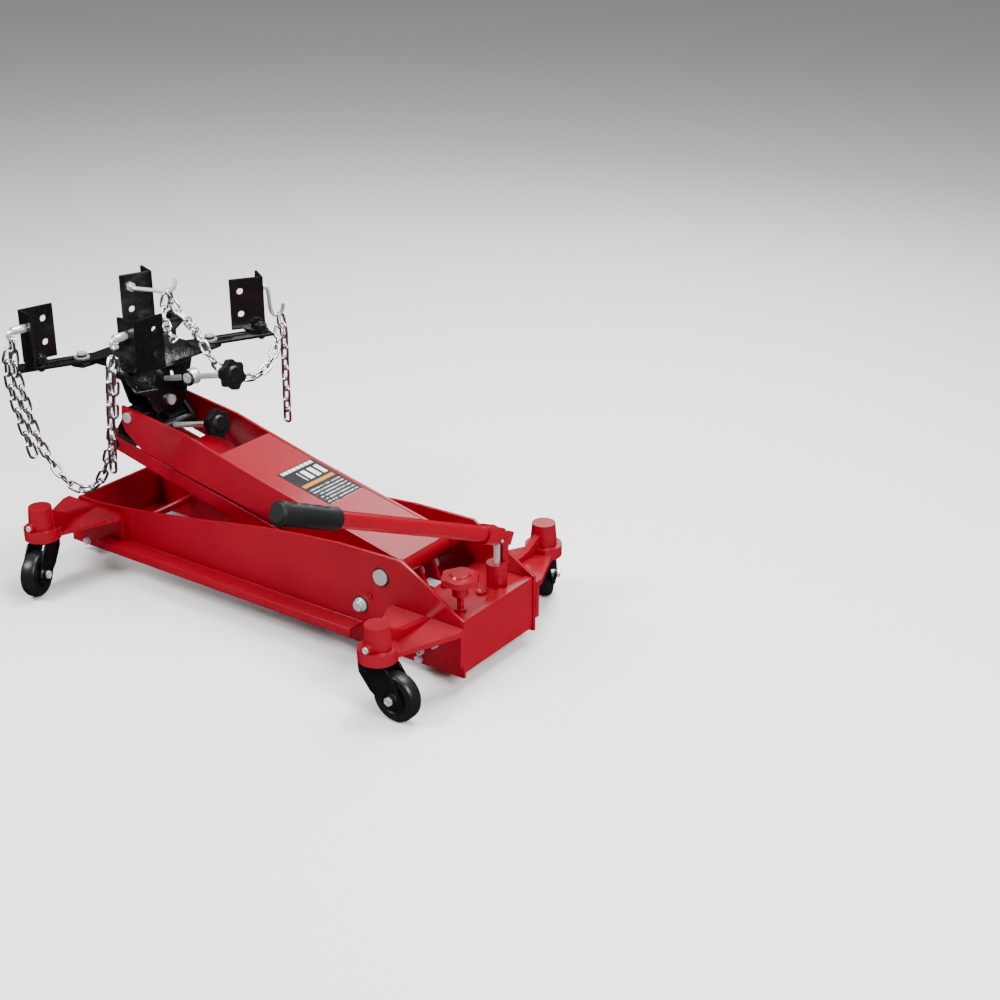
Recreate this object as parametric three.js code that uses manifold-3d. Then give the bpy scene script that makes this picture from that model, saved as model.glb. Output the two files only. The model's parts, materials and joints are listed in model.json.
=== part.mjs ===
// Low floor jack for gearboxes, with a tilting saddle, chains and a swivelling pump handle.
// Millimetres, +Z up, +X towards the handle end, -Y the side the handle hangs over.
import * as THREE from "three";
import { mergeVertices } from "three/addons/utils/BufferGeometryUtils.js";
import Module from "manifold-3d";

const wasm = await Module();
wasm.setup();

// ---- Driving dimensions ----
const gap = 0.35; // between pieces that touch or turn in one another
const rad = Math.PI / 180;

const wheelbase = 802.5; // between the front and rear caster stems
const track = 480; // between the near and far caster stems
const frameHalf = 106.3; // half the frame's outer width
const plate = 6; // frame, arm and link plate thickness
const frontOverhang = 77.5; // the frame's reach ahead of the front caster stems
const frameRear = 74.4;
const frameBase = 23.5;
const flangeReach = 34; // the side plates' outward bottom flange
const flangeTop = 65.3;
const flangeLip = 16;

const wheelR = 43;
const wheelWidth = 27;
const casterTrail = 38;
const stemR = 9;
const axleR = 5;
const cupBase = 100.3;
const cupR = 34;
const capR = 25;
const capTop = 163;

const armPivot = [-99.3, 164.4]; // x and z of the lift arm's rear shaft
const armFront = [-730.6, 301.8]; // the same for the pin at its front end
const linkOffset = [-46.6, -65.3]; // from the arm's pins to the parallel link's
const shaftR = 11;
const hubR = 20;
const frontPinR = 7.5;
const linkPinR = 8;
const linkHeight = 38;
const armHalf = 71; // outer half-width over the lift arm's plates
const crankR = 68; // crank under the arm's shaft, worked by the ram
const crankRest = 23; // its lean towards the rear at rest, in degrees
const crankPinR = 8;
const ramR = 14;

const saddleX = -740; // centre of the saddle table
const tableZ = 404; // its underside
const tableT = 6;
const tableHalfX = 80;
const tableHalfY = 92;
const lobe = [60, 106]; // corner bolts of the slotted arms
const lobeR = 22;
const rollAxisZ = 326; // the side tilt pin
const rollPinR = 7;
const webRear = -692;
const webFront = -753;
const screwLean = 14; // both tilt screws point up and back by this angle
const screwR = 5.5;
const knobR = 29;
const armKnobR = 12.5; // the small knobs on the slotted arms
const slotArm = { width: 38, inner: 40, outer: 122, thick: 6 };
const bracket = { height: 100, main: 66, side: 46, thick: 5 };

const blockTop = 125;
const pumpAt = [32, 48];
const bossTop = 160;
const bossR = 18.5;
const plungerR = 5.5;
const leverReach = 16; // from the pump lever's pin to the plunger
const leverZ = 212;
const handleEnd = [-19.6, -437, 426.6];
const handleR = 14;
const gripR = 19.5;
const gripLength = 127;
const releaseAt = [38, -66];
const chainR = 5;
const hookR = 4;

// ---- Modelling helpers ----
const v3 = (p) => new THREE.Vector3(...p);

// A three.js geometry as a manifold solid, without the empty triangles at a lathe's poles.
function solid(geometry) {
  const bare = new THREE.BufferGeometry();
  const source = geometry.index ? geometry.toNonIndexed() : geometry;
  bare.setAttribute("position", source.getAttribute("position"));
  const merged = mergeVertices(bare, 1e-4);
  const index = merged.index.array;
  const faces = [];
  for (let i = 0; i < index.length; i += 3) {
    const [a, b, c] = [index[i], index[i + 1], index[i + 2]];
    if (a !== b && b !== c && c !== a) faces.push(a, b, c);
  }
  return new wasm.Manifold(
    new wasm.Mesh({
      numProp: 3,
      vertProperties: merged.attributes.position.array,
      triVerts: new Uint32Array(faces),
    }),
  );
}

const join = (...parts) => parts.flat().reduce((sum, part) => sum.add(part));
const cut = (body, ...tools) => tools.flat().reduce((left, tool) => left.subtract(tool), body);

// A flat plate: outline pairs in the plane square to the axis, between two heights along it.
function slab(axis, outline, from, to) {
  const shape = new THREE.Shape(outline.map(([a, b]) => new THREE.Vector2(a, b)));
  const depth = to - from;
  const geometry = new THREE.ExtrudeGeometry(shape, { depth, bevelEnabled: false, curveSegments: 12 });
  if (axis === "y") geometry.translate(0, 0, -to).rotateX(Math.PI / 2);
  if (axis === "z") geometry.translate(0, 0, from);
  if (axis === "x") {
    geometry.translate(0, 0, from);
    geometry.applyMatrix4(
      new THREE.Matrix4().makeBasis(v3([0, 1, 0]), v3([0, 0, 1]), v3([1, 0, 0])),
    );
  }
  return solid(geometry);
}

function block([x0, y0, z0], [x1, y1, z1]) {
  const geometry = new THREE.BoxGeometry(x1 - x0, y1 - y0, z1 - z0);
  return solid(geometry.translate((x0 + x1) / 2, (y0 + y1) / 2, (z0 + z1) / 2));
}

const sidesFor = (radius) => (radius < 7 ? 10 : radius < 13.5 ? 14 : 20);

// A round bar, or a cone, between two points.
function rod(from, to, radius, endRadius = radius, sides = sidesFor(radius)) {
  const [a, b] = [v3(from), v3(to)];
  const along = b.clone().sub(a);
  const geometry = new THREE.CylinderGeometry(endRadius, radius, along.length(), sides);
  geometry.translate(0, along.length() / 2, 0);
  const turn = new THREE.Quaternion().setFromUnitVectors(v3([0, 1, 0]), along.normalize());
  geometry.applyQuaternion(turn).translate(a.x, a.y, a.z);
  return solid(geometry);
}

// A pin or bore across the jack at a given x and z.
const across = ([x, z], radius, from, to) => rod([x, from, z], [x, to, z], radius);

// A bar round a path.
function bar(points, radius, sides = 8, steps = points.length * 3) {
  const path = new THREE.CatmullRomCurve3(points.map(v3), false, "catmullrom");
  const ring = new THREE.Shape();
  for (let i = 0; i < sides; i++) {
    const a = (i * 2 * Math.PI) / sides;
    const [x, y] = [radius * Math.cos(a), radius * Math.sin(a)];
    if (i) ring.lineTo(x, y);
    else ring.moveTo(x, y);
  }
  return solid(new THREE.ExtrudeGeometry(ring, { steps, bevelEnabled: false, extrudePath: path }));
}

const circle = ([cx, cy], radius, from, to, count) =>
  Array.from({ length: count + 1 }, (_, i) => {
    const a = (from + ((to - from) * i) / count) * rad;
    return [cx + radius * Math.cos(a), cy + radius * Math.sin(a)];
  });

// A star knob with six lobes about +Z, from z = 0 up, and its hub below.
function starKnob(radius, height, hubR, hubHeight, count = 36, depth = 0.1) {
  const outline = [];
  for (let i = 0; i < count; i++) {
    const a = ((i * 360) / count) * rad;
    const r = radius * (1 - depth + depth * Math.cos(6 * a));
    outline.push([r * Math.cos(a), r * Math.sin(a)]);
  }
  return join(
    slab("z", outline, 0, height),
    rod([0, 0, -hubHeight], [0, 0, 1], hubR),
    rod([0, 0, height - 1], [0, 0, height + 4], radius * 0.6, radius * 0.45),
  );
}

const placed = (body, position, axis = [0, 0, 1], turn = 0) => {
  const up = new THREE.Quaternion().setFromUnitVectors(v3([0, 0, 1]), v3(axis).normalize());
  const spin = new THREE.Quaternion().setFromAxisAngle(v3([0, 0, 1]), turn * rad);
  const matrix = new THREE.Matrix4().compose(v3(position), up.multiply(spin), v3([1, 1, 1]));
  return body.transform(matrix.elements);
};

// ---- Materials ----
const finish = {
  red: { color: 0xb3121a, roughness: 0.32, metalness: 0 },
  black: { color: 0x17181a, roughness: 0.38, metalness: 0 },
  zinc: { color: 0xb9bcc0, roughness: 0.3, metalness: 1 },
  rubber: { color: 0x2b2c2e, roughness: 0.8, metalness: 0 },
  tyre: { color: 0x101113, roughness: 0.6, metalness: 0 },
};
const root = new THREE.Group();

function add(name, colour, body) {
  const mesh = body.getMesh();
  const points = new Float32Array(mesh.numVert * 3);
  for (let i = 0; i < mesh.numVert; i++) {
    points.set(mesh.vertProperties.subarray(i * mesh.numProp, i * mesh.numProp + 3), i * 3);
  }
  const geometry = new THREE.BufferGeometry();
  geometry.setAttribute("position", new THREE.BufferAttribute(points, 3));
  geometry.setIndex(new THREE.BufferAttribute(mesh.triVerts, 1));
  geometry.computeVertexNormals();
  const material = new THREE.MeshStandardMaterial({ ...finish[colour], name });
  const node = new THREE.Mesh(geometry, material);
  node.name = name;
  root.add(node);
}

// ---- Derived places ----
const frontX = -wheelbase;
const frameFront = frontX - frontOverhang;
const tieRod = [frontX + 45.5, 70];
const linkRear = [armPivot[0] + linkOffset[0], armPivot[1] + linkOffset[1]];
const linkFront = [armFront[0] + linkOffset[0], armFront[1] + linkOffset[1]];
const innerHalf = frameHalf - plate;
const armInner = armHalf - plate;
const linkOuter = armInner - 1;
const linkInner = linkOuter - plate;
const carrierOuter = linkInner - 1;
const carrierInner = carrierOuter - 8;
const crankPin = [
  armPivot[0] + crankR * Math.sin(crankRest * rad),
  armPivot[1] - crankR * Math.cos(crankRest * rad),
];
const ramZ = armPivot[1] - (crankR * (1 + Math.cos(crankRest * rad))) / 2;
const screwDir = [Math.cos(screwLean * rad), 0, Math.sin(screwLean * rad)];
const tableTop = tableZ + tableT;
const sides = [["near", -1], ["far", 1]];
const span = (side, inner, outer) => (side < 0 ? [-outer, -inner] : [inner, outer]);

// ---- Frame ----
// Each side plate carries an outward flange with a lip along its foot.
function sidePlate(side) {
  const top = [
    [frontX - 49.5, 124], [frontX + 11.5, 124], [-700, 134], [-600, 147], [-533, 158], [-450, 172], [-368, 185],
    [-280, 195], [-190, 203], [-57.5, 206], [-19.6, 185.5], [59.4, 137.3], [frameRear, 130.6],
  ];
  const outline = [[frameFront, frameBase], [frameFront, 50], ...top, [frameRear, frameBase]].reverse();
  const [y0, y1] = span(side, innerHalf, frameHalf);
  const flange = span(side, frameHalf - 1, frameHalf + flangeReach);
  const lip = span(side, frameHalf + flangeReach - 5, frameHalf + flangeReach);
  const body = join(
    slab("y", outline, y0, y1),
    block([frontX + 32.5, flange[0], flangeTop - 5], [-145, flange[1], flangeTop]),
    block([frontX + 32.5, lip[0], flangeTop - flangeLip], [-145, lip[1], flangeTop]),
  );
  return cut(
    body,
    across(armPivot, shaftR + gap, y0 - 1, y1 + 1),
    across(linkRear, linkPinR + gap, y0 - 1, y1 + 1),
  );
}
for (const [name, side] of sides) add("side_plate_" + name, "red", sidePlate(side));

const within = innerHalf - gap;
add("front_cross_plate", "red", join(
  block([frontX - 47.5, -within, 34], [frontX - 41.5, within, 124]),
  block([frontX - 47.5, -within, 34], [frontX - 12.5, within, 40]),
));
add("front_tie_rod", "red", join(
  across(tieRod, 8, -within, within),
  across(tieRod, 13, -within, -within + 5),
  across(tieRod, 13, within - 5, within),
));
add("rear_end_plate", "red", join(
  block([66, -within, 30], [71, within, 129]),
  block([56, -within, blockTop + gap], [71, within, 129]),
));

// The power unit: a block with the ram's cylinder in front, the pump boss and the release seat.
function powerUnit() {
  const wide = within - 0.5;
  const cylinder = rod([-52, 0, ramZ], [0, 0, ramZ], 24, 24, 24);
  const body = join(
    block([-20, -wide, 34], [66 - gap, wide, blockTop]),
    block([-50, -wide, blockTop - 5], [-19, wide, blockTop]),
    block([-50, -wide, 34], [-19, -wide + 5, blockTop]),
    block([-50, wide - 5, 34], [-19, wide, blockTop]),
    cylinder,
    rod([...pumpAt, blockTop - 1], [...pumpAt, bossTop], bossR, bossR, 24),
    rod([...releaseAt, blockTop - 1], [...releaseAt, blockTop + 5], 11),
  );
  return cut(
    body,
    rod([-53, 0, ramZ], [58, 0, ramZ], ramR + gap, ramR + gap),
    rod([...pumpAt, 90], [...pumpAt, bossTop + 1], plungerR + gap),
    rod([...releaseAt, 95], [...releaseAt, blockTop + 6], 6 + gap),
  );
}
add("power_unit", "red", powerUnit());

function ram() {
  const [x] = crankPin;
  const head = block([x - 14.5, -12, ramZ - 20], [x + 14.5, 12, ramZ + 20]);
  const half = crankPinR + 1.2;
  const slot = block([x - half, -13, ramZ - 14], [x + half, 13, ramZ + 14]);
  return join(cut(head, slot), rod([x + 14, 0, ramZ], [x + 125, 0, ramZ], ramR));
}
add("ram", "zinc", ram());

// ---- Casters ----
// A cast arm: cup and cap over the stem, a sloping top web with a rib, and a bolting flange.
function castArm(x, side) {
  const cupY = track / 2;
  const foot = frameHalf + gap;
  const low = x < frontX / 2 ? flangeTop + 2 : 48;
  const y = (a) => side * a;
  const wound = (outline) => (side > 0 ? outline : outline.reverse());
  const slope = [[y(foot), 118], [y(foot), 108], [y(cupY - 8), 104], [y(cupY - 8), 112]];
  const wedge = slab("x", wound(slope.reverse()), x - 75, x + 75);
  const plan = [
    [x - 75, y(foot)], [x + 75, y(foot)], [x + 75, y(foot + 16)], [x + 33, y(cupY - 20)],
    [x + 20, y(cupY)], [x - 20, y(cupY)], [x - 33, y(cupY - 20)], [x - 75, y(foot + 16)],
  ];
  const web = slab("z", wound(plan), 90, 130).intersect(wedge);
  const ribLine = [[y(foot), 116], [y(cupY - 10), 110], [y(cupY - 10), 152], [y(cupY - 60), 128],
    [y(foot), 118.5]];
  const rib = slab("x", wound(ribLine), x - 6, x + 6);
  const flange = span(side, foot, foot + 9);
  const cup = rod([x, y(cupY), cupBase], [x, y(cupY), 122], cupR, cupR, 24);
  const cap = rod([x, y(cupY), 121], [x, y(cupY), capTop], capR, 21.5, 24);
  const lug = rod([x, y(cupY + 16), 128], [x, y(cupY + 30), 128], 9);
  const body = join(
    web, rib, cup, cap, lug,
    block([x - 75, flange[0], low], [x + 75, flange[1], 112]),
  );
  return cut(body, rod([x, y(cupY), cupBase - 1], [x, y(cupY), 150], stemR + gap));
}

// A fork with its stem up and its axle across, trailing towards +X before it is turned.
function fork() {
  const topZ = cupBase - gap;
  const cheek = (y0, y1) => slab("y", [
    [-29, topZ - 4], [-27, wheelR + 32], [casterTrail - 42, wheelR + 4],
    ...circle([casterTrail, wheelR], 20, -140, 10, 8), [casterTrail + 12, wheelR + 26], [30, topZ - 4],
  ], y0, y1);
  const half = wheelWidth / 2 + 2;
  return join(
    rod([0, 0, topZ - 4], [0, 0, topZ], 29, 29, 20),
    rod([0, 0, topZ - 1], [0, 0, 148], stemR),
    cheek(-half - 3, -half), cheek(half, half + 3),
    block([-27, -half - 3, topZ - 7], [-4, half + 3, topZ - 3]),
    across([casterTrail, wheelR], axleR, -half - 6, half + 6),
    across([casterTrail, wheelR], 9, -half - 6, -half - 2.9),
    across([casterTrail, wheelR], 9, half + 2.9, half + 6),
  );
}

function wheel() {
  const w = wheelWidth / 2;
  const bore = axleR + gap;
  const profile = [
    [bore, -w], [14, -w], [17, -w + 4], [24, -w + 4], [28, -w], [wheelR - 4, -w], [wheelR, -w + 6],
    [wheelR, w - 6], [wheelR - 4, w], [28, w], [24, w - 4], [17, w - 4], [14, w], [bore, w],
    [bore, -w],
  ];
  const lathe = new THREE.LatheGeometry(profile.map(([r, h]) => new THREE.Vector2(r, h)), 24);
  return solid(lathe).translate([casterTrail, 0, wheelR]);
}

const casters = [
  ["rear_near", 0, -1, 0], ["rear_far", 0, 1, 116],
  ["front_near", frontX, -1, -68], ["front_far", frontX, 1, 150],
];
for (const [name, x, side, turn] of casters) {
  const at = [x, (side * track) / 2, 0];
  add("caster_arm_" + name, "red", castArm(x, side));
  add("caster_fork_" + name, "black", placed(fork(), at, [0, 0, 1], turn));
  add("caster_wheel_" + name, "tyre", placed(wheel(), at, [0, 0, 1], turn));
}

// ---- Lift arm, link and carrier ----
function liftArm() {
  const top = [[-745, 322], [-583, 300], [-509, 281], [-402, 255], [-240, 219], [-105, 190]];
  const under = [
    [-110, 141], [-200, 150], [-407, 186], [-594, 220], [-655, 233], [-700, 243], [-740, 272],
    [-748, 290],
  ];
  const rear = circle(armPivot, 25, 75, -95, 8);
  const outline = [...top, ...rear, ...under].reverse();
  const cover = [
    [-503, 278.5], [-402, 253.5], [-240, 217.5], [-112, 190.5], [-88, 182], [-88, 176.5],
    [-112, 185], [-240, 212.5], [-402, 248.5], [-503, 273.5],
  ].reverse();
  const floor = [[-650, 247], [-500, 214], [-500, 209], [-650, 242]].reverse();
  const [px, pz] = armPivot;
  const lean = crankRest * rad;
  const [ux, uz] = [Math.sin(lean), -Math.cos(lean)];
  const lug = [
    [px + 13 * uz, pz + 13 * ux], [px - 13 * uz, pz - 13 * ux],
    ...circle(crankPin, 13, crankRest, crankRest - 180, 8),
  ];
  const body = join(
    ...sides.map(([, side]) => slab("y", outline, ...span(side, armInner, armHalf))),
    slab("y", cover, -armInner - 1, armInner + 1),
    slab("y", floor, -armInner - 1, armInner + 1),
    slab("x", [[-armInner - 1, 213], [armInner + 1, 213], [armInner + 1, 275], [-armInner - 1, 275]], -505, -500),
    across(armPivot, hubR, -innerHalf + 2, innerHalf - 2),
    ...sides.map(([, side]) => slab("y", lug, ...span(side, 15, 22))),
    across(crankPin, crankPinR, -21, 21),
  );
  return cut(
    body,
    across(armPivot, shaftR + gap, -innerHalf, innerHalf),
    across(armFront, frontPinR + gap, -armHalf - 1, armHalf + 1),
  );
}
add("lift_arm", "red", liftArm());

function headedPin(at, radius, headR, half, headT) {
  return join(
    across(at, radius, -half - 1, half + 1),
    across(at, headR, -half - headT, -half - gap),
    across(at, headR, half + gap, half + headT),
  );
}
add("arm_shaft", "zinc", headedPin(armPivot, shaftR, 14, frameHalf, 5));
add("saddle_pin", "zinc", headedPin(armFront, frontPinR, 10, armHalf, 4));

function link(side) {
  const [y0, y1] = span(side, linkInner, linkOuter);
  const half = linkHeight / 2;
  const [dx, dz] = [armFront[0] - armPivot[0], armFront[1] - armPivot[1]];
  const tilt = Math.atan2(dz, dx) / rad;
  const outline = [
    ...circle(linkFront, half - 4, tilt + 60, tilt - 60, 8),
    ...circle(linkRear, half, tilt - 90, tilt - 270, 10),
  ];
  return cut(
    slab("y", outline, y0, y1),
    across(linkFront, linkPinR + gap, y0 - 1, y1 + 1),
    across(linkRear, linkPinR + gap, y0 - 1, y1 + 1),
  );
}
for (const [name, side] of sides) {
  const turn = (a, b) => span(side, a, b);
  add("link_" + name, "red", link(side));
  add("link_pivot_" + name, "zinc", join(
    across(linkRear, linkPinR, ...turn(linkInner - 6, frameHalf + 12)),
    across(linkRear, 13, ...turn(linkInner - 6, linkInner - gap)),
    across(linkRear, 13, ...turn(linkOuter + gap, innerHalf - gap)),
    across(linkRear, 13, ...turn(frameHalf + gap, frameHalf + 2.5)),
    across(linkRear, 10.5, ...turn(frameHalf + 2, frameHalf + 9)),
  ));
}

// The carrier between the arm plates keeps level and holds the front tilt screw's nut.
const nutAt = [-692, armFront[1] - 29.4];
function carrier() {
  const hull = (side) => {
    const [y0, y1] = span(side, carrierInner, carrierOuter);
    const discs = [[armFront, 19], [linkFront, 17], [nutAt, 15]];
    return wasm.Manifold.hull(discs.map(([at, r]) => across(at, r, y0, y1)));
  };
  return cut(
    join(
      hull(-1), hull(1),
      across(nutAt, 13, -carrierInner - 1, carrierInner + 1),
      across(linkFront, linkPinR, -linkOuter - 0.3, linkOuter + 0.3),
      across(linkFront, 12, -carrierInner - 1, carrierInner + 1),
    ),
    across(armFront, frontPinR + gap, -carrierOuter - 1, carrierOuter + 1),
    rod([nutAt[0] - 25 * screwDir[0], 0, nutAt[1] - 25 * screwDir[2]],
      [nutAt[0] + 25 * screwDir[0], 0, nutAt[1] + 25 * screwDir[2]], screwR + gap),
  );
}
add("saddle_carrier", "black", carrier());

// ---- Tilting head ----
// Foot of the square dropped from the front pin to the fore-and-aft screw.
const screwReach =
  (nutAt[0] - armFront[0]) * screwDir[2] - (nutAt[1] - armFront[1]) * screwDir[0];
const trunnion = [armFront[0] + screwReach * screwDir[2], armFront[1] - screwReach * screwDir[0]];
const onScrew = (s) => [trunnion[0] + s * screwDir[0], 0, trunnion[1] + s * screwDir[2]];
const lockFoot = [-684, 0, 369];
const onLock = (s) => lockFoot.map((c, i) => c + s * screwDir[i]);

function tiltBlock() {
  const tail = (side) => {
    const [y0, y1] = span(side, 8, 15);
    const plateShape = wasm.Manifold.hull([
      across(armFront, 13, y0, y1), across(trunnion, 13, y0, y1),
    ]);
    const low = [trunnion[0] + 14 * screwDir[2], trunnion[1] - 14 * screwDir[0]];
    const slot = wasm.Manifold.hull([
      across(trunnion, 6.6, y0 - 1, y1 + 1), across(low, 6.6, y0 - 1, y1 + 1),
      across([trunnion[0] - 3 * screwDir[2], trunnion[1] + 3 * screwDir[0]], 6.6, y0 - 1, y1 + 1),
    ]);
    return cut(plateShape, slot);
  };
  const [x0, x1] = [webFront + 3 + gap, webRear - 3 - gap];
  return cut(
    join(
      across(armFront, 15, -carrierInner + 1, carrierInner - 1),
      rod([x0, 0, rollAxisZ], [x1, 0, rollAxisZ], 13),
      block([x0 + 8, -12, armFront[1]], [x1 - 8, 12, rollAxisZ]),
      block([x1 - 9, -13, rollAxisZ - 8], [x1, 13, 384]),
      tail(-1), tail(1),
    ),
    across(armFront, frontPinR + gap, -carrierInner, carrierInner),
    rod([x0 - 1, 0, rollAxisZ], [x1 + 1, 0, rollAxisZ], rollPinR + gap),
    rod(onLock(-30), onLock(5), screwR + gap),
  );
}
add("tilt_block", "black", tiltBlock());
add("roll_pin", "zinc", join(
  rod([webFront - 8, 0, rollAxisZ], [webRear + 8, 0, rollAxisZ], rollPinR),
  rod([webFront - 8, 0, rollAxisZ], [webFront - 3 - gap, 0, rollAxisZ], 10),
  rod([webRear + 3 + gap, 0, rollAxisZ], [webRear + 8, 0, rollAxisZ], 10),
));
add("tilt_screw", "zinc", join(
  rod(onScrew(-6), onScrew(136), screwR), across(trunnion, 6, -16, 16),
));
add("tilt_knob", "black", cut(
  placed(starKnob(knobR, 14, 10, 20), onScrew(150), screwDir),
  rod(onScrew(120), onScrew(136 + gap), screwR + gap),
));
add("lock_screw", "zinc", join(
  rod(onLock(-26), onLock(146), screwR),
  across([onLock(58)[0], onLock(58)[2]], 15, -8, 8),
));
add("lock_knob", "black", cut(
  placed(starKnob(knobR, 14, 10, 20), onLock(160), screwDir),
  rod(onLock(130), onLock(146 + gap), screwR + gap),
));

// The saddle table: a plate with four corner lobes, their arm bolts, and two webs below.
function table() {
  const [lx, ly] = lobe;
  const corners = [[lx, ly], [lx, -ly], [-lx, ly], [-lx, -ly]];
  const lobes = corners.map(([x, y]) => {
    const at = [saddleX + x, y];
    const [y0, y1] = y > 0 ? [tableHalfY - 14, y] : [y, -tableHalfY + 14];
    return join(
      rod([...at, tableZ], [...at, tableTop], lobeR),
      block([at[0] - lobeR, y0, tableZ], [at[0] + lobeR, y1, tableTop]),
      rod([...at, tableZ - 5], [...at, tableTop + slotArm.thick + 2 * gap + 6], 5),
      rod([...at, tableTop + slotArm.thick + 2 * gap], [...at, tableTop + slotArm.thick + 2 * gap + 6], 9.5, 9.5, 6),
      rod([...at, tableZ - 6], [...at, tableZ + 1], 9, 9, 6),
    );
  });
  const vee = [[-70, tableZ + 1], [-42, 318], [-30, 306], [30, 306], [42, 318], [70, tableZ + 1]];
  const webs = [webFront, webRear].map((x) => slab("x", vee, x - 3, x + 3));
  const slotCut = wasm.Manifold.hull(
    [-1, 1].map((s) => rod([webRear - 8, s * 10, 368], [webRear + 8, s * 10, 371], screwR + 4.5)),
  );
  return cut(
    join(
      block([saddleX - tableHalfX, -tableHalfY, tableZ], [saddleX + tableHalfX, tableHalfY, tableTop]),
      ...lobes, ...webs,
    ),
    rod([webFront - 6, 0, rollAxisZ], [webRear + 6, 0, rollAxisZ], rollPinR + gap),
    slotCut,
  );
}
add("saddle_table", "black", table());

// ---- Slotted arms, brackets, hooks ----
// For each corner: lobe signs, arm angle, and the bracket's fold, its angle, hand and foot side.
const corners = [
  {
    name: "front_near", lobe: [-1, -1], arm: -116.6, slide: 4, seat: 42, fold: [-118, -194], turn: 76, hand: -1,
    hook: { on: "side", along: 24, up: 70, kind: "sleeved" },
  },
  {
    name: "front_far", lobe: [-1, 1], arm: 119, slide: 44, fold: [-101.5, 123], turn: 249, hand: -1,
    hook: { on: "main", along: 46, up: 75, kind: "long" },
  },
  {
    name: "rear_near", lobe: [1, -1], arm: -27, slide: 0, fold: [108, -126], turn: 86, hand: 1,
    hook: { on: "side", along: 24, up: 70, kind: "sleeved" },
  },
  {
    name: "rear_far", lobe: [1, 1], arm: 63, slide: 0, fold: [102, 217.4], turn: 237, hand: -1,
    hook: { on: "side", along: 22, up: 72, kind: "hanging" },
  },
];

const armZ = tableTop + gap;
const footZ = armZ + slotArm.thick + gap;
const local = (angle) => {
  const [c, s] = [Math.cos(angle * rad), Math.sin(angle * rad)];
  return ([x, y]) => [c * x - s * y, s * x + c * y];
};

function slottedArm({ lobe: [sx, sy], arm, slide }, bore) {
  const at = [saddleX + sx * lobe[0], sy * lobe[1]];
  const { width, inner, outer, thick } = slotArm;
  const h = width / 2;
  const body = cut(
    block([-inner - slide, -h, 0], [outer - slide, h, thick]),
    block([-2 - slide, -5 - gap, -1], [72 - slide, 5 + gap, thick + 1]),
    rod([-2 - slide, 0, -1], [-2 - slide, 0, thick + 1], 5 + gap),
    rod([72 - slide, 0, -1], [72 - slide, 0, thick + 1], 5 + gap),
  );
  const placedArm = placed(body, [...at, armZ], [0, 0, 1], arm);
  return cut(placedArm, rod([...bore, armZ - 1], [...bore, armZ + thick + 1], 5 + gap));
}

// The stud stands on the arm's centre line, a hole's width in from its outer end.
function studOf({ lobe: [sx, sy], arm, slide, seat = 18 }) {
  const [dx, dy] = local(arm)([slotArm.outer - slide - seat, 0]);
  return [saddleX + sx * lobe[0] + dx, sy * lobe[1] + dy];
}

// An upright angle on a foot plate; the fold stands at the corner.
function angleBracket(corner, stud) {
  const { fold, turn, hand } = corner;
  const { height, main, side, thick } = bracket;
  const base = footZ + 5;
  const y = (a, b) => (hand > 0 ? [a, b] : [-b, -a]);
  const [m0, m1] = y(0, thick);
  const [s0, s1] = y(0, side);
  const holes = [30, 75].map((z) => rod([main - 20, -9, z], [main - 20, 9, z], 6.5));
  const { on, along, up } = corner.hook;
  const hookHole = on === "side"
    ? [rod([-1, hand * along, up + 1], [thick + 1, hand * along, up + 1], hookR + gap)] : [];
  const angle = cut(
    join(block([0, m0, 0], [main, m1, height]), block([0, s0, 0], [thick, s1, height])),
    ...holes, ...hookHole,
  );
  const upright = placed(angle, [saddleX + fold[0], fold[1], base - 1], [0, 0, 1], turn);
  const middle = local(turn)([22, hand * 8]);
  const under = [saddleX + fold[0] + middle[0], fold[1] + middle[1]];
  const pad = wasm.Manifold.hull([
    rod([...under, footZ], [...under, base], 20), rod([...stud, footZ], [...stud, base], 15),
  ]);
  return cut(join(upright, pad), rod([...stud, footZ - 1], [...stud, base + 1], 5 + gap));
}

// A bent rod held by a nut on each side of the bracket; distances are out from the flange and up.
const hookShapes = {
  sleeved: [[-9, 0], [23, 0], [31, -2], [34, -9], [29, -16], [20, -15]],
  hanging: [[-9, 0], [2, 0], [8, 0], [13, -6], [15, -18], [17, -45], [22, -57], [32, -60], [40, -52], [43, -38]],
  long: [[-9, 0], [10, 0]],
};
const longReach = [[16, -5, 0], [44, 7, -1], [76, 20, -2], [86, 27, 2], [88, 33, 10], [84, 38, 20]];

function chainHook({ fold, turn, hand, hook }) {
  const { on, along, up, kind } = hook;
  const base = footZ + 5 + up;
  const out = on === "side" ? turn + 180 : turn - hand * 90;
  const start = on === "side" ? local(turn)([0, hand * along]) : local(turn)([along, 0]);
  const at = [saddleX + fold[0] + start[0], fold[1] + start[1]];
  const spot = ([u, z]) => {
    const [x, y] = local(out)([u, 0]);
    return [at[0] + x, at[1] + y, base + z];
  };
  const bend = kind === "long"
    ? longReach.map(([x, y, z]) => [at[0] + x, at[1] + y, base + z]) : [];
  const nutR = on === "side" ? 7.5 : 9.5;
  const nut = (from, to) => rod(spot([from, 0]), spot([to, 0]), nutR, nutR, 6);
  const sleeve = kind === "sleeved" ? [rod(spot([5, 0]), spot([27, 0]), 7.8)] : [];
  return join(
    bar([...hookShapes[kind].map(spot), ...bend], hookR),
    nut(gap, 6), nut(-bracket.thick - 6, -bracket.thick - gap), ...sleeve,
  );
}

for (const corner of corners) {
  const stud = studOf(corner);
  add("slotted_arm_" + corner.name, "black", slottedArm(corner, stud));
  add("bracket_" + corner.name, "black", angleBracket(corner, stud));
  const knob = starKnob(armKnobR, 9, 9, 0.5, 12);
  add("bracket_knob_" + corner.name, "black", join(
    placed(knob, [...stud, footZ + 5 + gap + 0.5]),
    rod([...stud, tableZ - 2], [...stud, footZ + 8], 5),
    rod([...stud, tableZ + 1], [...stud, armZ - gap], 8),
  ));
  add("chain_hook_" + corner.name, "zinc", chainHook(corner));
}

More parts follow.
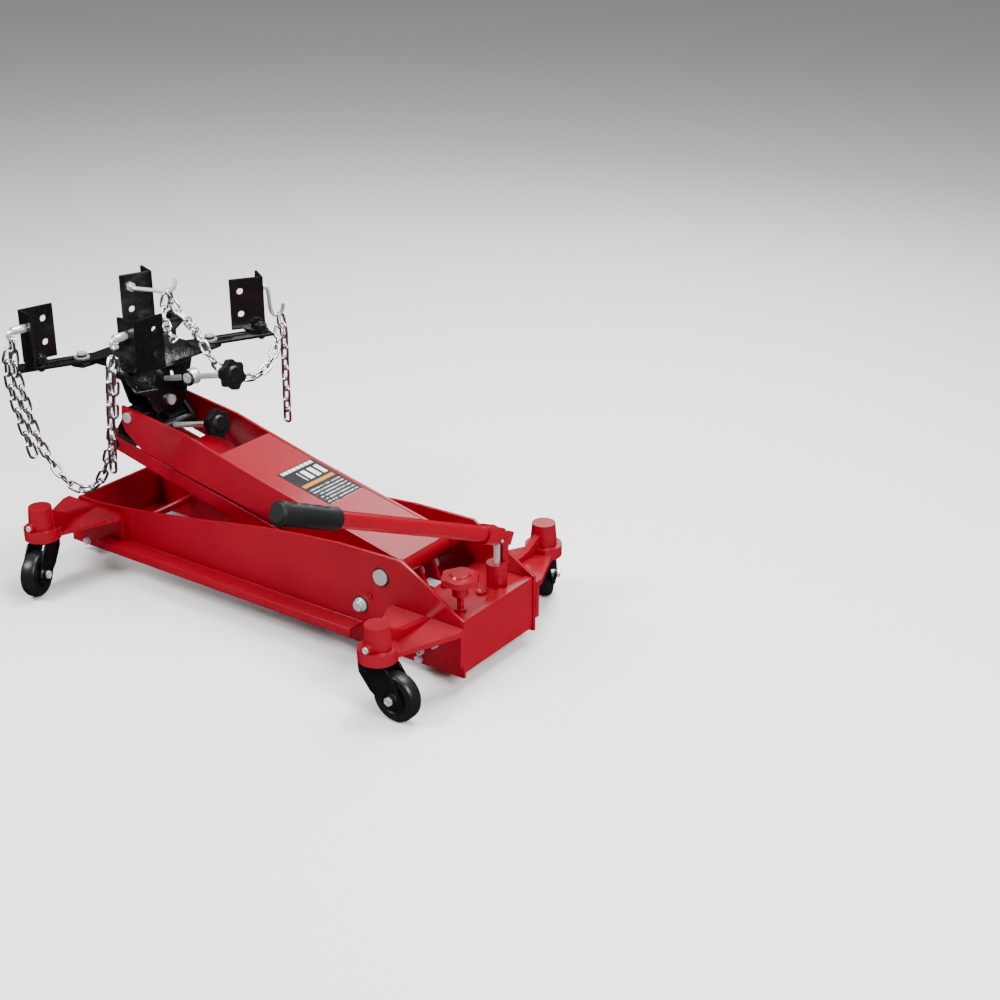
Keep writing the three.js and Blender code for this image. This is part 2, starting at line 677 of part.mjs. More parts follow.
// ---- Chains: each one tube for the hung run and its two loose tails ----
const runs = {
  near: [
    [-841.5, -227.5, 470.9], [-840, -228, 450], [-837, -229, 413], [-830, -226, 378], [-821, -222, 327],
    [-812, -218, 291], [-800, -212, 258], [-784, -204, 228], [-766, -196, 205], [-746, -187, 194],
    [-726, -178, 197], [-708, -171, 215], [-694, -165, 248], [-683, -160, 290], [-674, -156, 335],
    [-666, -155, 390], [-660, -153, 435], [-658, -153, 470.6],
  ],
  far: [
    [-778, 103, 489.9], [-774, 106, 470], [-752, 106, 449], [-728, 103, 437], [-703, 90, 432],
    [-678, 74, 430], [-657, 66, 421], [-640, 64, 403], [-625, 72, 381], [-612, 90, 362],
    [-603, 115, 352], [-599, 145, 350], [-600, 172, 357], [-606, 198, 371], [-615, 222, 390],
    [-627, 243, 410], [-638, 255, 427.2],
  ],
};
const tails = {
  near: [
    [[-841.5, -228, 470], [-844, -237, 448], [-841, -241, 400], [-829, -235, 330], [-812, -226, 252]],
    [[-658, -153.5, 470], [-655, -165, 448], [-655, -170, 400], [-660, -172, 320], [-664, -173, 240]],
  ],
  far: [
    [[-778, 102.5, 489], [-780, 93, 468], [-772, 84, 440], [-752, 73, 424], [-735, 64, 418],
      [-712, 46, 417]],
    [[-638, 255.5, 427], [-638, 265, 408], [-638, 266, 380], [-638, 265, 300], [-638, 264, 205]],
  ],
};
for (const name of ["near", "far"]) {
  add("chain_" + name, "zinc", join(
    bar(runs[name], chainR, 7, 30), ...tails[name].map((tail) => bar(tail, chainR, 7, 8)),
  ));
}

// ---- Frame of the handle: along it, across it and square to both ----
const [pumpX, pumpY] = pumpAt;
const flat = new THREE.Vector2(handleEnd[0] - pumpX, handleEnd[1] - pumpY).normalize();
const lever = [pumpX - leverReach * flat.x, pumpY - leverReach * flat.y, leverZ];
const handleLength = v3(handleEnd).distanceTo(v3(lever));
const alongHandle = v3(handleEnd).sub(v3(lever)).normalize();
const acrossHandle = v3([0, 0, 1]).cross(alongHandle).normalize();
const overHandle = alongHandle.clone().cross(acrossHandle);
const onHandle = (body) => {
  const matrix = new THREE.Matrix4().makeBasis(alongHandle, acrossHandle, overHandle);
  return body.transform(matrix.setPosition(v3(lever)).elements);
};
const onPump = (body) => {
  const level = v3([flat.x, flat.y, 0]);
  const matrix = new THREE.Matrix4().makeBasis(level, acrossHandle, v3([0, 0, 1]));
  return body.transform(matrix.setPosition(v3([pumpX, pumpY, 0])).elements);
};

add("pump_head", "red", onPump(cut(
  join(
    rod([0, 0, bossTop + gap], [0, 0, bossTop + 8], bossR, bossR, 24),
    block([-leverReach - 8, -6, bossTop + gap], [-leverReach + 7, 6, leverZ]),
    rod([-leverReach, -6, leverZ], [-leverReach, 6, leverZ], 9),
  ),
  rod([0, 0, bossTop], [0, 0, bossTop + 9], plungerR + gap),
  rod([-leverReach, -7, leverZ], [-leverReach, 7, leverZ], 4 + gap),
)));
add("pump_plunger", "zinc", onPump(join(
  rod([0, 0, 100], [0, 0, leverZ + 3], plungerR), rod([0, -13, leverZ], [0, 13, leverZ], 3.5),
)));

function handleYoke() {
  const ears = [-1, 1].map((s) => {
    const [y0, y1] = s < 0 ? [-13, -6.5] : [6.5, 13];
    return block([-11, y0, -12], [34, y1, 12]);
  });
  const lean = Math.asin(alongHandle.z);
  const slot = block([11, -14, -4.3], [23, 14, 4.3]);
  const turned = new THREE.Matrix4().makeRotationY(lean);
  const body = join(...ears, rod([24, 0, 0], [58, 0, 0], 18, 18, 24), rod([0, -14, 0], [0, 14, 0], 4));
  return cut(
    body, slot.transform(turned.elements), rod([38, 0, 0], [59, 0, 0], handleR + gap, handleR + gap, 24),
    block([12, -6.5, -19], [30, 6.5, 19]),
  );
}
add("handle_yoke", "red", onHandle(handleYoke()));
add("handle_tube", "red", onHandle(
  rod([38 + gap, 0, 0], [handleLength - 12, 0, 0], handleR, handleR, 24),
));

function grip() {
  const start = handleLength - gripLength;
  const scallops = [0, 1, 2, 3].map((i) => {
    const s = start + 26 + i * 26;
    return rod([s, -30, gripR + 11], [s, 30, gripR + 11], 15);
  });
  return cut(
    join(
      rod([start, 0, 0], [handleLength - 4, 0, 0], gripR - 1, gripR, 24),
      rod([handleLength - 5, 0, 0], [handleLength, 0, 0], gripR, gripR - 5, 24),
    ),
    rod([start - 1, 0, 0], [handleLength - 12 + gap, 0, 0], handleR + gap, handleR + gap, 24),
    ...scallops,
  );
}
add("handle_grip", "rubber", onHandle(grip()));

add("release_knob", "red", placed(join(
  starKnob(34, 12, 14, 24, 36, 0.06),
  rod([0, 0, -74], [0, 0, -20], 6),
), [...releaseAt, 178]));

root.userData.pivots = {
  armPivot, armFront, linkRear, linkFront, crankPin, trunnion, lever, screwDir,
  acrossHandle: acrossHandle.toArray(), pumpAt, releaseAt, lockFoot,
  studs: Object.fromEntries(corners.map((corner) => [corner.name, studOf(corner)])),
};

// The origin is under the middle of the jack, on the floor; the hanging chains are left out of it.
const box = new THREE.Box3();
for (const node of root.children) {
  if (!node.name.startsWith("chain_near") && !node.name.startsWith("chain_far")) box.expandByObject(node);
}
const centre = box.getCenter(new THREE.Vector3());
root.position.set(-centre.x, -centre.y, -box.min.z);

export default root;
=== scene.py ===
import json
from math import cos, radians, sin

import bpy
from mathutils import Matrix, Vector


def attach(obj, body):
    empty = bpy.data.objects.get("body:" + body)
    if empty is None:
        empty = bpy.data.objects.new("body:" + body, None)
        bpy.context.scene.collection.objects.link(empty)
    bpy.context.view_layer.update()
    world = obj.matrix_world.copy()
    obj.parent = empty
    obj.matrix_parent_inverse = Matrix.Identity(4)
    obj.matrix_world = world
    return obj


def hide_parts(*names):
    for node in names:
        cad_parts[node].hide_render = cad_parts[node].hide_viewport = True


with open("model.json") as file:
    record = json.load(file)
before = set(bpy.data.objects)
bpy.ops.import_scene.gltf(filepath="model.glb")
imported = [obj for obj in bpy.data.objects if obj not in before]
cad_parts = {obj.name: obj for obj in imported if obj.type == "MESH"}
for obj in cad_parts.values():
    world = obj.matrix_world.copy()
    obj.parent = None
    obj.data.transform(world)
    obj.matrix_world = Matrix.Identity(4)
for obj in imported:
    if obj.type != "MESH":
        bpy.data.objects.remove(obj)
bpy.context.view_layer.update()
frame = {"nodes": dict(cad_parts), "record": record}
bpy.ops.object.select_all(action="DESELECT")
nodes = frame["nodes"]
body_of = {
    node: body
    for body, names in frame["record"]["behaviour"]["bodies"].items()
    for node in names
}
slot_of = {part["node"]: part["material_slot"] for part in frame["record"]["subparts"]}
corners = ["rear_near", "rear_far", "front_near", "front_far"]

# The rear casters' stems stand on this line; places below are counted from it, as in the drawing.
stems = Vector((0.402618, 0.063383, 0.0))


def place(x, y, z):
    return stems + Vector((x, y, z)) / 1000


# ---- Room: camera, floor and soft lamps ----
# A pale sweep of floor under large soft lamps, looked down on from the near front of the handle.
bpy.ops.object.camera_add(location=place(1576.01, -2126.61, 1467.35),
                          rotation=(radians(66.09), 0, radians(35.26)))
camera = bpy.context.object
camera.data.lens = 62.03
camera.data.sensor_width = 36
camera.data.clip_end = 50
bpy.context.scene.camera = camera

bpy.ops.mesh.primitive_plane_add(size=30, location=(0, 0, -0.0005))
floor = bpy.context.object
floor.name = "floor"
floor_paint = bpy.data.materials.new("floor_paint")
floor_paint.use_nodes = True
floor_paint.node_tree.nodes["Principled BSDF"].inputs["Base Color"].default_value = (0.95, 0.95, 0.95, 1)
floor_paint.node_tree.nodes["Principled BSDF"].inputs["Roughness"].default_value = 0.75
floor.data.materials.append(floor_paint)

# The room is dark round the horizon and bright overhead, so the upright faces keep their own colour.
floor.visible_glossy = False
room = bpy.data.worlds.new("room")
room.use_nodes = True
sky = room.node_tree
sky.nodes["Background"].inputs["Color"].default_value = (1, 1, 1, 1)
sky_way = sky.nodes.new("ShaderNodeTexCoord")
sky_parts = sky.nodes.new("ShaderNodeSeparateXYZ")
sky_height = sky.nodes.new("ShaderNodeMapRange")
for end, value in [("From Min", 0.2), ("From Max", 0.75), ("To Min", 0.02), ("To Max", 0.3)]:
    sky_height.inputs[end].default_value = value
sky.links.new(sky_way.outputs["Generated"], sky_parts.inputs["Vector"])
sky.links.new(sky_parts.outputs["Z"], sky_height.inputs["Value"])
seen = sky.nodes.new("ShaderNodeLightPath")
brighter = sky.nodes.new("ShaderNodeMath")
brighter.operation = "MAXIMUM"
sky.links.new(sky_height.outputs["Result"], brighter.inputs[0])
sky.links.new(seen.outputs["Is Camera Ray"], brighter.inputs[1])
sky.links.new(brighter.outputs["Value"], sky.nodes["Background"].inputs["Strength"])
bpy.context.scene.world = room

for name, spot, size, power in [
    ("key_lamp", (-1.2, -1.9, 2.6), 1.2, 130),
    ("fill_lamp", (2.6, -0.6, 1.9), 1.2, 110),
    ("top_lamp", (0.4, 1.0, 2.9), 1.6, 150),
    ("back_lamp", (-0.4, 2.3, 2.0), 1.5, 28),
]:
    bpy.ops.object.light_add(type="AREA", location=spot)
    lamp = bpy.context.object
    lamp.name = name
    lamp.data.size = size
    lamp.data.energy = power
    aim = Vector((0, 0, 0.2)) - Vector(spot)
    lamp.rotation_euler = aim.to_track_quat("-Z", "Y").to_euler()


# ---- Shared surface effects ----
# Handling marks and settled dust, which every finish takes, and the small steps that make them.
def effect(name, inputs, outputs):
    tree = bpy.data.node_groups.new(name, "ShaderNodeTree")
    for socket, start in inputs:
        made = tree.interface.new_socket(socket, in_out="INPUT", socket_type="NodeSocketFloat")
        made.default_value = start
    for socket in outputs:
        tree.interface.new_socket(socket, in_out="OUTPUT", socket_type="NodeSocketFloat")
    return tree, tree.nodes.new("NodeGroupInput"), tree.nodes.new("NodeGroupOutput")


def noise(tree, scale, detail, stretch=(1, 1, 1), rough=0.55):
    where = tree.nodes.new("ShaderNodeTexCoord")
    mapping = tree.nodes.new("ShaderNodeMapping")
    mapping.inputs["Scale"].default_value = stretch
    texture = tree.nodes.new("ShaderNodeTexNoise")
    texture.inputs["Scale"].default_value = scale
    texture.inputs["Detail"].default_value = detail
    texture.inputs["Roughness"].default_value = rough
    tree.links.new(where.outputs["Object"], mapping.inputs["Vector"])
    tree.links.new(mapping.outputs["Vector"], texture.inputs["Vector"])
    return texture.outputs["Fac"]


def remap(tree, value, low, high, to_low=0.0, to_high=1.0):
    ranged = tree.nodes.new("ShaderNodeMapRange")
    ranged.inputs["From Min"].default_value = low
    ranged.inputs["From Max"].default_value = high
    ranged.inputs["To Min"].default_value = to_low
    ranged.inputs["To Max"].default_value = to_high
    tree.links.new(value, ranged.inputs["Value"])
    return ranged.outputs["Result"]


def times(tree, a, b, operation="MULTIPLY"):
    step_node = tree.nodes.new("ShaderNodeMath")
    step_node.operation = operation
    for end, value in zip(step_node.inputs, (a, b)):
        if isinstance(value, (int, float)):
            end.default_value = value
        else:
            tree.links.new(value, end)
    return step_node.outputs[0]


# Marks: cloudy wear, dust that settles on upward faces, and sparse fine scuffs.
marks, marks_in, marks_out = effect(
    "handling_marks", [("Dust", 0.2), ("Scuffs", 0.2)], ["Cloud", "Dust", "Scuffs"]
)
marks.links.new(remap(marks, noise(marks, 9, 4), 0.3, 0.7), marks_out.inputs["Cloud"])
facing = marks.nodes.new("ShaderNodeNewGeometry")
split = marks.nodes.new("ShaderNodeSeparateXYZ")
marks.links.new(facing.outputs["Normal"], split.inputs["Vector"])
upward = remap(marks, split.outputs["Z"], 0.55, 1.0)
speckle = remap(marks, noise(marks, 55, 6, rough=0.7), 0.42, 0.72)
settled = times(marks, times(marks, upward, speckle), marks_in.outputs["Dust"])
marks.links.new(settled, marks_out.inputs["Dust"])
scratch = remap(marks, noise(marks, 130, 3, (1, 7, 1), 0.6), 0.66, 0.74)
patch = remap(marks, noise(marks, 14, 2), 0.5, 0.62)
marks.links.new(
    times(marks, times(marks, scratch, patch), marks_in.outputs["Scuffs"]), marks_out.inputs["Scuffs"]
)


# ---- Finishes ----
# Enamels, plating, moulded plastic and rubber; each takes the marks above and its own fine grain.
def mixed(tree, factor, first, second):
    mix = tree.nodes.new("ShaderNodeMix")
    mix.data_type = "RGBA"
    tree.links.new(factor, mix.inputs["Factor"])
    for end, colour in ((mix.inputs["A"], first), (mix.inputs["B"], second)):
        if isinstance(colour, tuple):
            end.default_value = (*colour, 1)
        else:
            tree.links.new(colour, end)
    return mix.outputs["Result"]


def finish_of(name, colour, shade, rough, rough_spread, grain, grain_depth, dust=0.25, scuffs=0.3,
              scuff_colour=(0.35, 0.35, 0.36), metallic=0.0, coat=0.0, stretch=(1, 1, 1),
              gloss=0.5):
    made = bpy.data.materials.new(name)
    made.use_nodes = True
    tree = made.node_tree
    shader = tree.nodes["Principled BSDF"]
    shader.inputs["Metallic"].default_value = metallic
    shader.inputs["Coat Weight"].default_value = coat
    shader.inputs["Coat Roughness"].default_value = 0.08
    shader.inputs["Specular IOR Level"].default_value = gloss
    worn = tree.nodes.new("ShaderNodeGroup")
    worn.node_tree = marks
    worn.inputs["Dust"].default_value = dust
    worn.inputs["Scuffs"].default_value = scuffs
    base = mixed(tree, worn.outputs["Cloud"], colour, shade)
    base = mixed(tree, worn.outputs["Dust"], base, (0.45, 0.43, 0.4))
    base = mixed(tree, worn.outputs["Scuffs"], base, scuff_colour)
    tree.links.new(base, shader.inputs["Base Color"])
    fine = noise(tree, grain, 4, stretch)
    roughness = remap(tree, fine, 0.3, 0.7, rough - rough_spread, rough + rough_spread)
    roughness = times(tree, roughness, times(tree, worn.outputs["Dust"], 0.5), "ADD")
    tree.links.new(roughness, shader.inputs["Roughness"])
    bump = tree.nodes.new("ShaderNodeBump")
    bump.inputs["Strength"].default_value = 0.35
    bump.inputs["Distance"].default_value = grain_depth
    tree.links.new(fine, bump.inputs["Height"])
    tree.links.new(bump.outputs["Normal"], shader.inputs["Normal"])
    return made


finishes = {
    "red_paint": finish_of("red_enamel", (0.245, 0.0002, 0.0095), (0.21, 0.0002, 0.0075), 0.24, 0.03,
                           240, 0.00008, dust=0.01, scuffs=0.03, scuff_colour=(0.35, 0.02, 0.02), coat=0.12,
                           gloss=0.35),
    "black_paint": finish_of("black_enamel", (0.003, 0.003, 0.0033), (0.0045, 0.0045, 0.005), 0.24, 0.04,
                             300, 0.00003, dust=0.0, scuffs=0.03, scuff_colour=(0.03, 0.03, 0.032), coat=0.25,
                             gloss=0.45),
    "zinc": finish_of("zinc_plating", (0.86, 0.86, 0.87), (0.72, 0.73, 0.75), 0.3, 0.06,
                      420, 0.0001, dust=0.0, scuffs=0.08, metallic=0.7, stretch=(1, 1, 6)),
    "chain_plating": finish_of("chain_plating", (0.80, 0.80, 0.81), (0.60, 0.61, 0.63), 0.2, 0.06,
                               420, 0.0001, dust=0.0, scuffs=0.08, metallic=1.0),
    "knob_plastic": finish_of("moulded_black", (0.004, 0.004, 0.0045), (0.007, 0.007, 0.0075), 0.36, 0.07,
                              650, 0.0002, dust=0.02, scuffs=0.1, scuff_colour=(0.03, 0.03, 0.03),
                              gloss=0.35),
    "wheel_tyre": finish_of("wheel_nylon", (0.005, 0.005, 0.0055), (0.009, 0.009, 0.0095), 0.34, 0.08,
                            500, 0.0002, dust=0.03, scuffs=0.2, scuff_colour=(0.05, 0.05, 0.05), gloss=0.35),
    "grip_rubber": finish_of("grip_rubber_skin", (0.005, 0.0052, 0.0055), (0.008, 0.0083, 0.0087), 0.42, 0.06,
                             900, 0.0002, dust=0.01, scuffs=0.05, scuff_colour=(0.03, 0.03, 0.03),
                             gloss=0.45),
    "dark_washer": finish_of("oiled_washer", (0.012, 0.011, 0.011), (0.03, 0.028, 0.026), 0.4, 0.08,
                             400, 0.0004, dust=0.02, scuffs=0.1, metallic=0.6),
}


# ---- Frame, arm, saddle, casters, pump and handle: the made shapes ----
# Pressed, sawn and cast pieces as drawn; each gets the small rounded edges that paint runs over,
# and its turned faces are made smooth.
def edged(node, edge):
    source = nodes[node]
    bpy.ops.object.select_all(action="DESELECT")
    piece = source.copy()
    piece.data = source.data.copy()
    piece.name = node + "_made"
    piece.parent = None
    piece.hide_render = piece.hide_viewport = False
    for key in list(piece.keys()):
        del piece[key]
    bpy.context.scene.collection.objects.link(piece)
    piece.matrix_world = source.matrix_world
    bpy.context.view_layer.objects.active = piece
    piece.select_set(True)
    bpy.ops.object.mode_set(mode="EDIT")
    bpy.ops.mesh.select_all(action="SELECT")
    bpy.ops.mesh.remove_doubles(threshold=0.00002)
    bpy.ops.mesh.dissolve_limited(angle_limit=radians(1))
    bpy.ops.object.mode_set(mode="OBJECT")
    if edge:
        rounding = piece.modifiers.new("rounded", "BEVEL")
        rounding.width = edge
        rounding.segments = 2
        rounding.limit_method = "ANGLE"
        rounding.angle_limit = radians(42)
        bpy.ops.object.modifier_apply(modifier=rounding.name)
    bpy.ops.object.shade_smooth_by_angle(angle=radians(41))
    evened = piece.modifiers.new("evened", "WEIGHTED_NORMAL")
    evened.keep_sharp = True
    evened.weight = 80
    bpy.ops.object.modifier_apply(modifier=evened.name)
    slot = slot_of[node]
    piece.data.materials.clear()
    piece.data.materials.append(finishes[slot])
    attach(piece, body_of[node])
    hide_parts(node)


edges = {"caster_arm": 0.0022, "power_unit": 0.0012, "lift_arm": 0.0010, "side_plate": 0.0010,
         "saddle_table": 0.0008, "pump_head": 0.0012, "handle_yoke": 0.0012, "release": 0.0016,
         "lock_knob": 0.0020, "tilt_knob": 0.0020, "caster_wheel": 0.0012,
         "bracket_knob": 0.0010, "handle_grip": 0.0012, "chain_hook": 0.0}
for node in nodes:
    if node in ("chain_near", "chain_far"):
        continue
    edge = next((size for start, size in edges.items() if node.startswith(start)), 0.0006)
    edged(node, edge)


# ---- Fasteners ----
# Plated socket-head and hex screws on the frame's rear flange, caster caps and unit cover. A head is
# a turned cylinder with its rim eased and its driver's recess sunk.
def screw_head(name, at, axis, radius, height, body, sides=32, recess=0.55, finish="zinc", deep=0.6):
    bpy.ops.object.select_all(action="DESELECT")
    bpy.ops.mesh.primitive_cylinder_add(vertices=sides, radius=radius, depth=height)
    head = bpy.context.object
    head.name = name
    bpy.ops.object.mode_set(mode="EDIT")
    bpy.ops.mesh.select_mode(type="FACE")
    bpy.ops.mesh.select_all(action="DESELECT")
    bpy.ops.object.mode_set(mode="OBJECT")
    for face in head.data.polygons:
        face.select = face.normal.z > 0.9
    bpy.ops.object.mode_set(mode="EDIT")
    bpy.ops.mesh.inset(thickness=radius * (1 - recess), depth=0)
    bpy.ops.mesh.extrude_region_move(TRANSFORM_OT_translate={"value": (0, 0, -height * deep)})
    bpy.ops.object.mode_set(mode="OBJECT")
    rim = head.modifiers.new("rim", "BEVEL")
    rim.width = radius * 0.09
    rim.segments = 2
    rim.angle_limit = radians(40)
    bpy.ops.object.modifier_apply(modifier=rim.name)
    turn = Vector(axis).normalized().to_track_quat("Z", "Y").to_matrix().to_4x4()
    head.data.transform(Matrix.Translation(place(*at) + Vector(axis).normalized() * height / 2) @ turn)
    bpy.ops.object.shade_smooth_by_angle(angle=radians(35))
    head.data.materials.append(finishes[finish])
    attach(head, body)


frame_face, flange_face = 106.3, 115.7
for side, out in (("near", -1), ("far", 1)):
    for number, (x, z) in enumerate([(-8, 57), (22, 79), (-806, 80)]):
        screw_head(f"flange_screw_{side}_{number}", (x, out * flange_face, z), (0, out, 0),
                   0.0068, 0.009, "frame")
    for number, (x, z) in enumerate([(-19, 33), (-835, 33)]):
        screw_head(f"frame_nut_{side}_{number}", (x, out * frame_face, z), (0, out, 0),
                   0.0078, 0.008, "frame", sides=6, recess=0.55, deep=0.3)
    screw_head(f"link_stop_{side}", (-125, out * frame_face, 121), (0, out, 0), 0.0055, 0.004, "frame",
               recess=0.5, finish="red_paint", deep=0.3)
    screw_head(f"shaft_ring_{side}", (-99.3, out * (frame_face - 0.05), 164.4), (0, out, 0),
               0.0168, 0.0008, "frame", recess=0.85, finish="dark_washer", deep=0.1)
    screw_head(f"link_washer_{side}", (-145.9, out * (frame_face - 0.05), 99.1), (0, out, 0), 0.0158, 0.0008,
               "frame", recess=0.85, finish="dark_washer", deep=0.1)

wheelbase, track = 802.5, 480
axle_height, caster_trail, nut_reach = 43, 38, 21.6
for corner in corners:
    x = -wheelbase if corner.startswith("front") else 0
    side = -1 if corner.endswith("near") else 1
    screw_head(f"cap_screw_{corner}", (x, side * (track / 2 + 30), 128), (0, side, 0), 0.0055, 0.003, "frame",
               sides=32, recess=0.5, deep=0.3)
    turn = radians({"rear_near": 0, "rear_far": 116, "front_near": -68, "front_far": 150}[corner])
    along = Vector((cos(turn), sin(turn), 0))
    across = Vector((-sin(turn), cos(turn), 0))
    axle = Vector((x, side * track / 2, axle_height)) + along * caster_trail
    for end in (-1, 1):
        screw_head(f"axle_nut_{corner}_{'in' if end < 0 else 'out'}", axle + across * end * nut_reach,
                   across * end, 0.0078, 0.005, "caster_" + corner, sides=6, recess=0.5, deep=0.25)

screw_head("filler_screw", (29, 5, 125), (0, 0, 1), 0.0085, 0.005, "frame", recess=0.6,
           finish="red_paint", deep=0.3)
screw_head("unit_bolt", (-37, -9, 125), (0, 0, 1), 0.0075, 0.005, "frame", sides=6, recess=0.5,
           finish="dark_washer", deep=0.2)
for corner, (x, y) in {"front_near": (-800, -106), "front_far": (-800, 106), "rear_near": (-680, -106),
                       "rear_far": (-680, 106)}.items():
    screw_head(f"lobe_washer_{corner}", (x, y, 416.9), (0, 0, 1), 0.0145, 0.0016, "table",
               recess=0.75, deep=0.1)
    screw_head(f"lobe_nut_{corner}", (x, y, 422.9), (0, 0, 1), 0.0092, 0.004, "table", sides=6, recess=0.55,
               deep=0.5)
eye_x, eye_z = -684 + 58 * 0.9703, 369 + 58 * 0.2419
screw_head("eye_pin_near", (eye_x, -8.05, eye_z), (0, -1, 0), 0.0095, 0.004, "head",
           recess=0.3, deep=0.2)
for side, out in (("near", -1), ("far", 1)):
    screw_head(f"eye_ring_{side}", (eye_x, out * 7.9, eye_z), (0, out, 0), 0.0155, 0.002, "head",
               recess=0.85, finish="black_paint", deep=0.1)
screw_head("web_bolt", (-688.9, 0, 326), (1, 0, 0), 0.0098, 0.007, "head", recess=0.3, deep=0.1)


# ---- Arm plate sticker ----
# A dark panel with an amber stripe and pale bars, stuck flat on the lift arm's sloping cover.
bpy.ops.object.select_all(action="DESELECT")
bpy.ops.mesh.primitive_grid_add(x_subdivisions=2, y_subdivisions=2, size=1)
sticker = bpy.context.object
sticker.name = "arm_sticker"
long_side, wide_side, lean = 0.178, 0.093, Vector((0.162, 0, -0.036)).normalized()
lift = lean.cross(Vector((0, 1, 0)))
thickness = sticker.modifiers.new("film", "SOLIDIFY")
thickness.thickness = 0.003
thickness.offset = 1
bpy.ops.object.modifier_apply(modifier=thickness.name)
middle = place(-311, 16, 233.4)
turn = Matrix((lean, Vector((0, 1, 0)), lift)).transposed().to_4x4()
sticker.data.transform(Matrix.Diagonal((long_side, wide_side, 0.1, 1)))
sticker.data.transform(Matrix.Translation(middle + lift * 0.0002) @ turn)
film = bpy.data.materials.new("printed_film")
film.use_nodes = True
tree = film.node_tree
shader = tree.nodes["Principled BSDF"]
shader.inputs["Specular IOR Level"].default_value = 0.15
where = tree.nodes.new("ShaderNodeTexCoord")
parts = tree.nodes.new("ShaderNodeSeparateXYZ")
tree.links.new(where.outputs["Object"], parts.inputs["Vector"])
across_film = parts.outputs["Y"]
along_film = parts.outputs["X"]


def band(value, low, high):
    return times(tree, times(tree, value, low, "GREATER_THAN"), times(tree, value, high, "LESS_THAN"))


def rows(value, per_metre, filled):
    share = tree.nodes.new("ShaderNodeMath")
    share.operation = "FRACT"
    tree.links.new(times(tree, value, per_metre), share.inputs[0])
    return times(tree, share.outputs[0], filled, "LESS_THAN")


edge_to_edge = band(across_film, middle.y - 0.041, middle.y + 0.041)
title = times(tree, times(tree, edge_to_edge, band(along_film, middle.x - 0.084, middle.x - 0.076)),
              rows(across_film, 90, 0.8))
heading = times(tree, times(tree, band(across_film, middle.y - 0.016, middle.y + 0.040),
                            band(along_film, middle.x - 0.068, middle.x - 0.040)),
                rows(across_film, 55, 0.62))
amber = times(tree, edge_to_edge, band(along_film, middle.x - 0.033, middle.x - 0.024))
lines = times(tree, times(tree, edge_to_edge, band(along_film, middle.x - 0.018, middle.x + 0.074)),
              rows(along_film, 118, 0.4))
broken = remap(tree, noise(tree, 260, 2, (0.05, 1, 1)), 0.42, 0.46)
printed = mixed(tree, title, (0.012, 0.012, 0.014), (0.75, 0.75, 0.73))
printed = mixed(tree, heading, printed, (0.75, 0.75, 0.73))
printed = mixed(tree, times(tree, lines, broken), printed, (0.42, 0.42, 0.41))
printed = mixed(tree, amber, printed, (0.50, 0.19, 0.002))
printed = mixed(tree, remap(tree, noise(tree, 60, 4), 0.55, 0.85, 0.0, 0.12), printed, (0.2, 0.2, 0.2))
tree.links.new(printed, shader.inputs["Base Color"])
tree.links.new(remap(tree, noise(tree, 220, 3), 0.3, 0.7, 0.3, 0.45), shader.inputs["Roughness"])
sticker.data.materials.append(film)
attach(sticker, "lift")

# ---- Chains ----
# Plated welded chain, each link a bent and closed round wire, every other link turned a quarter.
# A hung run goes from one bracket's hook to another's, and the slack hangs below each hook.
link_wire, link_width, link_long = 0.0028, 0.0205, 0.034
pitch = link_long - 4 * link_wire


def chain_link():
    bpy.ops.object.select_all(action="DESELECT")
    bpy.ops.mesh.primitive_torus_add(major_segments=20, minor_segments=8,
                                     major_radius=link_width / 2 - link_wire, minor_radius=link_wire)
    ring = bpy.context.object
    straight = (link_long - link_width) / 2
    for vertex in ring.data.vertices:
        vertex.co.x += straight if vertex.co.x > 0.00001 else -straight if vertex.co.x < -0.00001 else 0
    mesh = ring.data.copy()
    bpy.data.objects.remove(ring)
    return mesh


link_mesh = chain_link()


def smooth_route(points, step=0.002):
    knots = [Vector(p) for p in points]
    knots = [knots[0] * 2 - knots[1]] + knots + [knots[-1] * 2 - knots[-2]]
    line = []
    for a, b, c, d in zip(knots, knots[1:], knots[2:], knots[3:]):
        count = max(2, int((c - b).length / step))
        for i in range(count):
            t = i / count
            line.append(0.5 * ((2 * b) + (c - a) * t + (2 * a - 5 * b + 4 * c - d) * t * t
                               + (3 * b - a - 3 * c + d) * t ** 3))
    line.append(knots[-2])
    return line


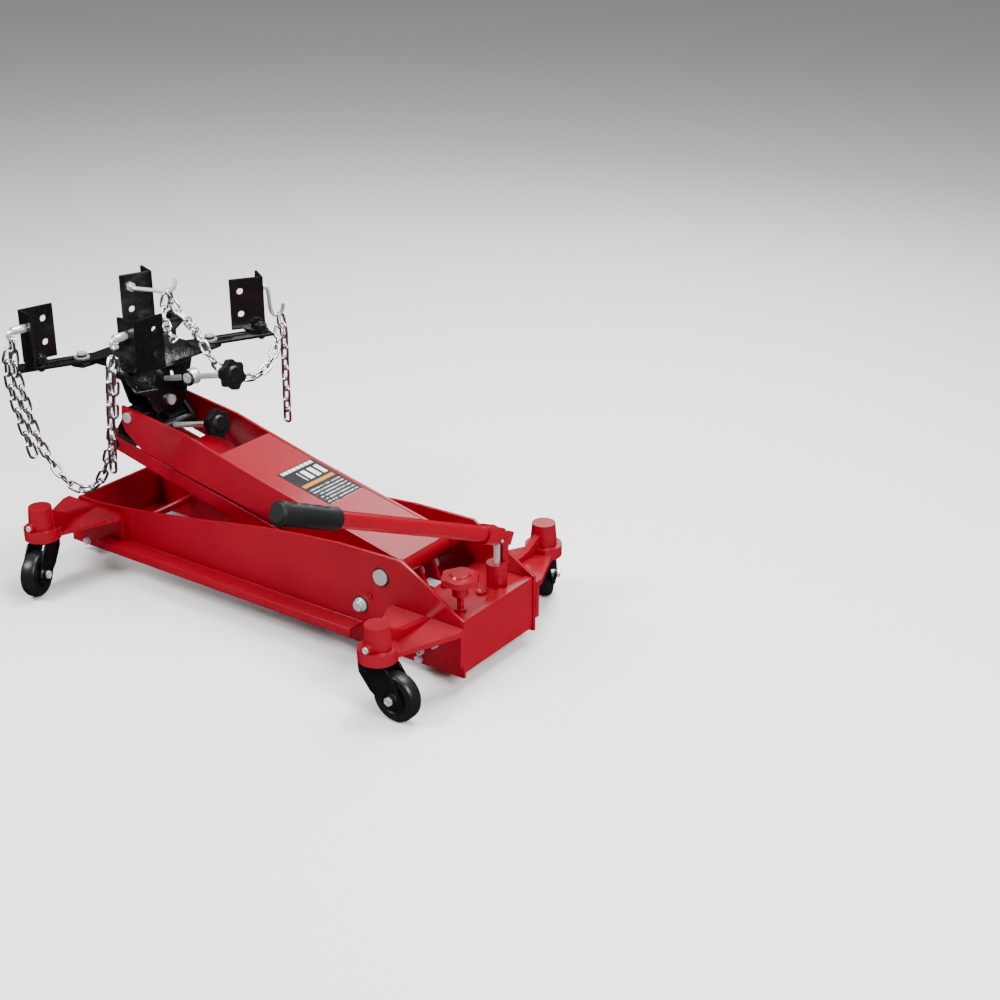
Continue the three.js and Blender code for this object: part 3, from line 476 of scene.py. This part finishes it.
def chain(name, points, first_across):
    line = smooth_route([place(*p) for p in points])
    lengths = [0.0]
    for a, b in zip(line, line[1:]):
        lengths.append(lengths[-1] + (b - a).length)
    total = lengths[-1]

    def spot(s):
        s = min(max(s, 0), total)
        i = max(1, next((k for k, l in enumerate(lengths) if l >= s), len(lengths) - 1))
        share = (s - lengths[i - 1]) / max(lengths[i] - lengths[i - 1], 1e-9)
        return line[i - 1].lerp(line[i], share)

    count = round((total - link_long) / pitch) + 1
    span = (total - link_long) / (count - 1)
    across = Vector(first_across).normalized()
    links = []
    for i in range(count):
        centre = i * span + link_long / 2
        along = (spot(centre + span / 2) - spot(centre - span / 2)).normalized()
        across = (across - along * across.dot(along)).normalized()
        side = across if i % 2 == 0 else along.cross(across)
        basis = Matrix((along, along.cross(side) * -1, side)).transposed().to_4x4()
        links.append(Matrix.Translation(spot(centre)) @ basis)
    bpy.ops.object.select_all(action="DESELECT")
    made = []
    for i, where_to in enumerate(links):
        one = bpy.data.objects.new(f"{name}_{i}", link_mesh.copy())
        one.data.transform(where_to)
        bpy.context.scene.collection.objects.link(one)
        one.select_set(True)
        made.append(one)
    bpy.context.view_layer.objects.active = made[0]
    bpy.ops.object.join()
    piece = bpy.context.object
    piece.name = name
    bpy.ops.object.shade_smooth()
    piece.data.materials.clear()
    piece.data.materials.append(finishes["chain_plating"])
    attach(piece, "table")
    return piece


near_run = chain("chain_near_run", [
    (-841.5, -227.5, 483), (-840, -228, 450), (-837, -229, 413), (-830, -226, 378), (-821, -222, 327),
    (-812, -218, 291), (-800, -212, 258), (-784, -204, 228), (-766, -196, 205), (-746, -187, 194),
    (-726, -178, 197), (-708, -171, 215), (-694, -165, 248), (-683, -160, 290), (-674, -156, 335),
    (-666, -155, 390), (-660, -153, 435), (-658, -153, 483),
], (-0.24, -0.97, 0))
chain("chain_near_front_tail", [
    (-841.5, -229, 462), (-844, -239, 446), (-841, -243, 400), (-830, -238, 330), (-813, -229, 252),
], (-0.97, 0.24, 0))
chain("chain_near_rear_tail", [
    (-658, -154, 462), (-655, -167, 446), (-655, -173, 400), (-660, -175, 320), (-664, -176, 240),
], (-1, 0.07, 0))
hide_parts("chain_near")

far_run = chain("chain_far_run", [
    (-778, 103, 502), (-774, 106, 475), (-752, 106, 452), (-728, 103, 440), (-703, 90, 435),
    (-678, 74, 433), (-657, 66, 422), (-640, 64, 403), (-625, 72, 381), (-612, 90, 362),
    (-603, 115, 352), (-599, 145, 350), (-600, 172, 357), (-606, 198, 371), (-615, 222, 390),
    (-627, 243, 412), (-638, 255, 440),
], (0.91, 0.42, 0))
chain("chain_far_front_tail", [
    (-779, 101, 494), (-781, 92, 468), (-773, 82, 444), (-752, 70, 430), (-735, 61, 424), (-708, 42, 423),
], (0.42, -0.91, 0))
chain("chain_far_rear_tail", [
    (-638, 258, 436), (-638, 266, 412), (-638, 268, 380), (-638, 267, 300), (-638, 266, 205),
], (1, 0, 0))
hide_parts("chain_far")
